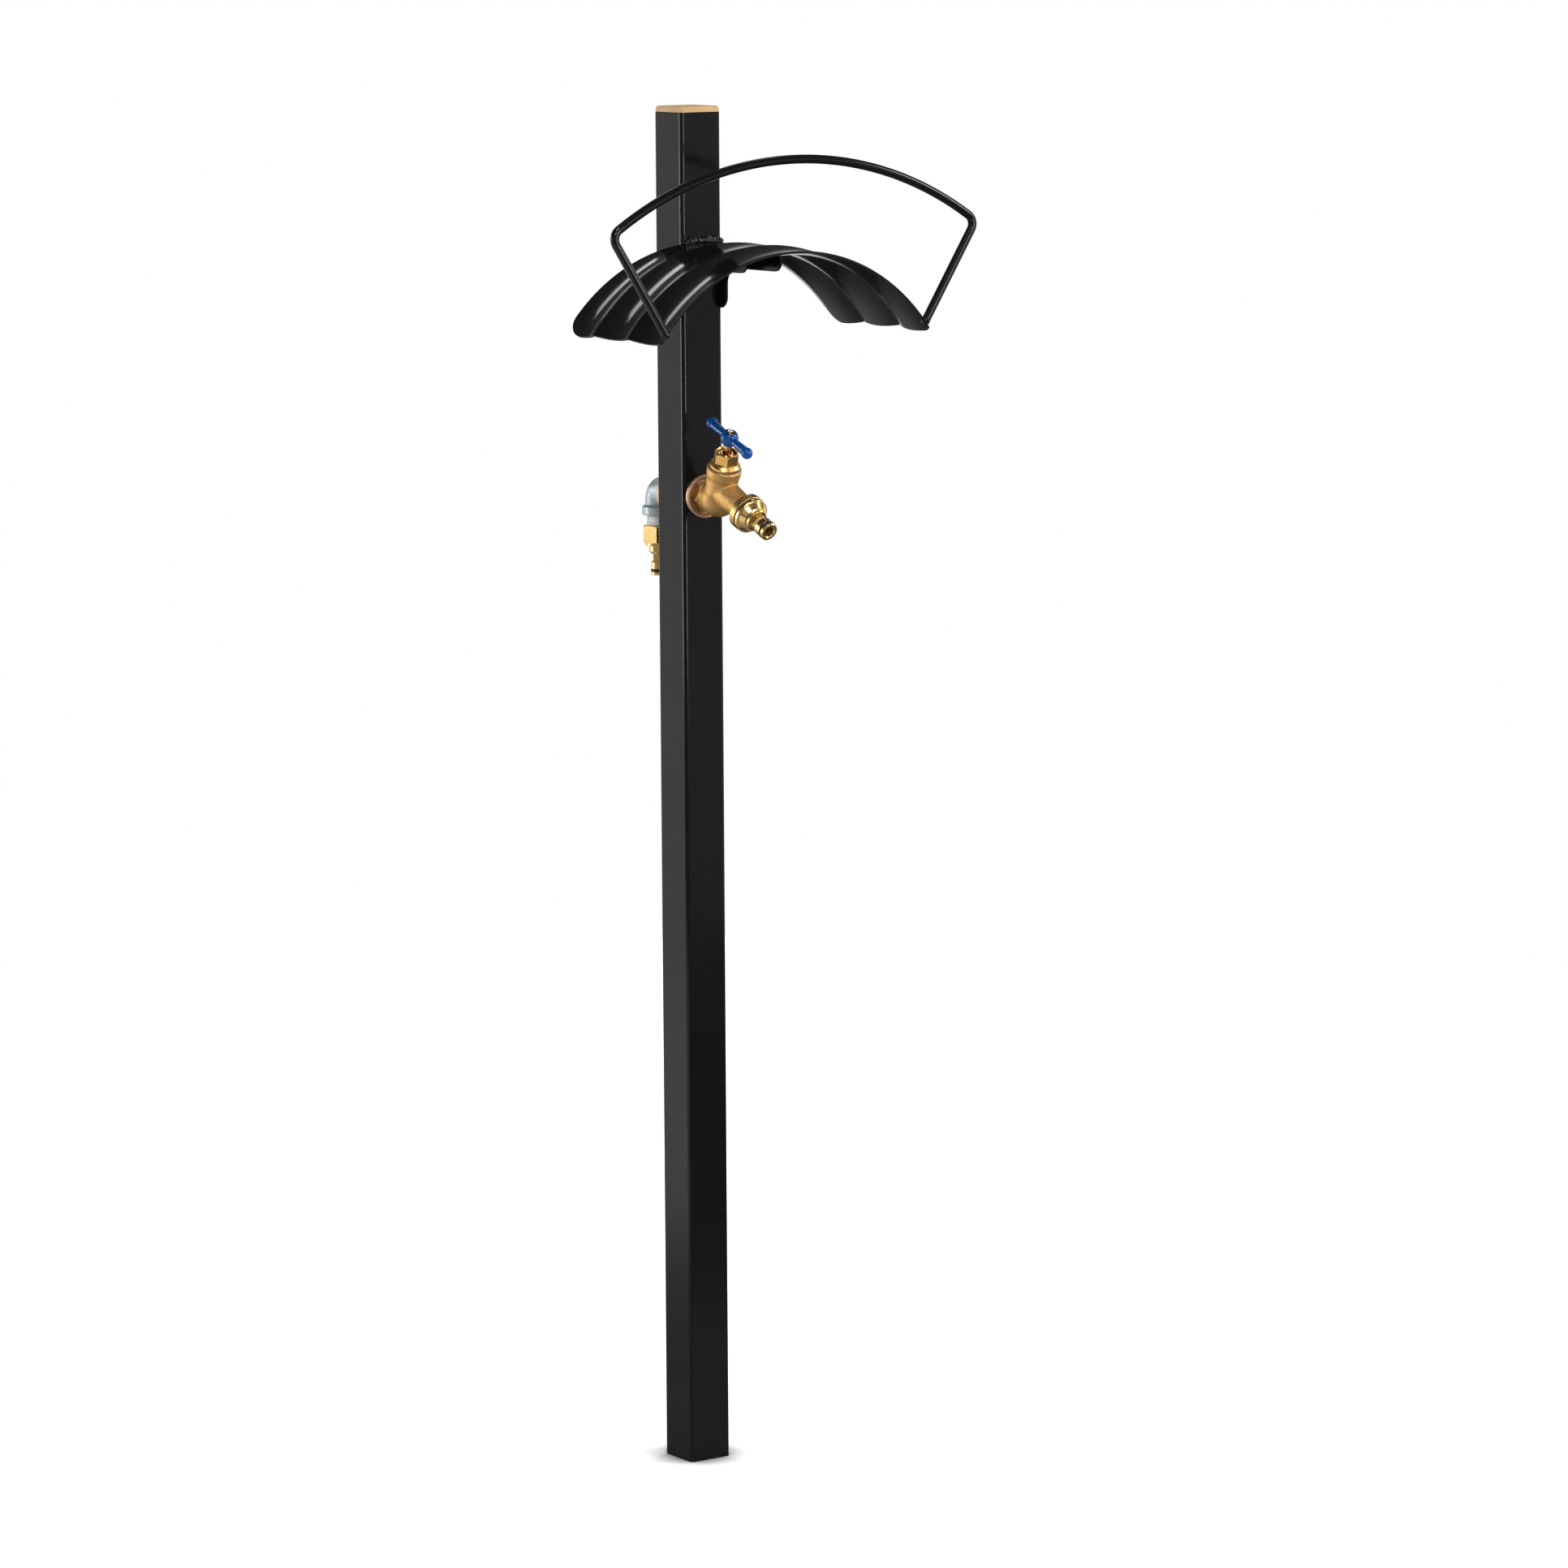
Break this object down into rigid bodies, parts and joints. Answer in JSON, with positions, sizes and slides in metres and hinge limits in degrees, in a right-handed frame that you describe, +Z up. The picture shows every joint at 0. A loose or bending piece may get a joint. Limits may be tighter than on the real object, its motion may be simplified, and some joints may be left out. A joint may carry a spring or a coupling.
{
  "type": "garden tap post with hose saddle",
  "caption": "Square steel water post with a bib tap, T-handle and quick-coupling spigot, an elbow feed behind it, and a fluted arched hose saddle with a bent guard rod.",
  "frame": {"origin": "centre of the post's square foot, on its lower end face", "axes": "+Z up along the post; the tap and the hose saddle face -Y; +X is to the viewer's right when facing the tap"},
  "size_m": [0.3636, 0.2248, 1.155],
  "materials": {
    "black_paint": "gloss black powder coat",
    "tan_plastic": "satin",
    "flange_bronze": "satin, pinkish bronze",
    "cast_brass": "sandy cast skin",
    "turned_brass": "turned",
    "dark_brass": "turned, dark brown",
    "polished_brass": "polished",
    "copper_brass": "turned, reddish",
    "fibre": "matt sealing fibre",
    "black_rubber": "matt",
    "blue_paint": "gloss enamel",
    "bright_screw": "bright",
    "galvanised_steel": "zinc coat",
    "galvanised_iron": "dull zinc coat",
    "white_tape": "thin thread tape"
  },
  "bodies": {
    "stand": {"post_tube": "black_paint", "post_cap": "tan_plastic", "hose_saddle": "black_paint", "holder_bracket": "black_paint", "guard_rod": "black_paint", "rod_welds": "black_paint", "saddle_weld": "black_paint", "bracket_welds": "black_paint", "wall_flange": "flange_bronze", "tap_body": "cast_brass", "bonnet": "turned_brass", "bonnet_seal": "fibre", "gland_packing": "fibre", "gland_nut": "copper_brass", "outlet_collar": "dark_brass", "outlet_gasket": "black_rubber", "outlet_spigot": "polished_brass", "outlet_o_ring": "black_rubber", "through_pipe": "galvanised_steel", "pipe_backnut": "galvanised_steel", "elbow": "galvanised_iron", "inlet_adapter": "polished_brass", "thread_tape": "white_tape", "inlet_o_ring": "black_rubber"},
    "valve": {"jumper_valve": "turned_brass", "jumper_washer": "black_rubber", "jumper_nut": "turned_brass"},
    "handle": {"spindle": "copper_brass", "handle": "blue_paint", "handle_screw": "bright_screw", "screw_washer": "black_rubber"}
  },
  "joints": [
    {"name": "valve_lift", "type": "slide", "parent": "stand", "child": "valve", "axis": [-0.1251, -0.4384, 0.89], "range_m": [0, 0.0056]},
    {"name": "handle_turn", "type": "hinge", "parent": "valve", "child": "handle", "pos_m": [0, -0.0435, 0.83], "axis": [-0.1251, -0.4384, 0.89], "range_deg": [0, 990]}
  ],
  "couplings": [
    {"joint": "valve_lift", "follows": "handle_turn", "m_per_rad": 0.00031831}
  ]
}
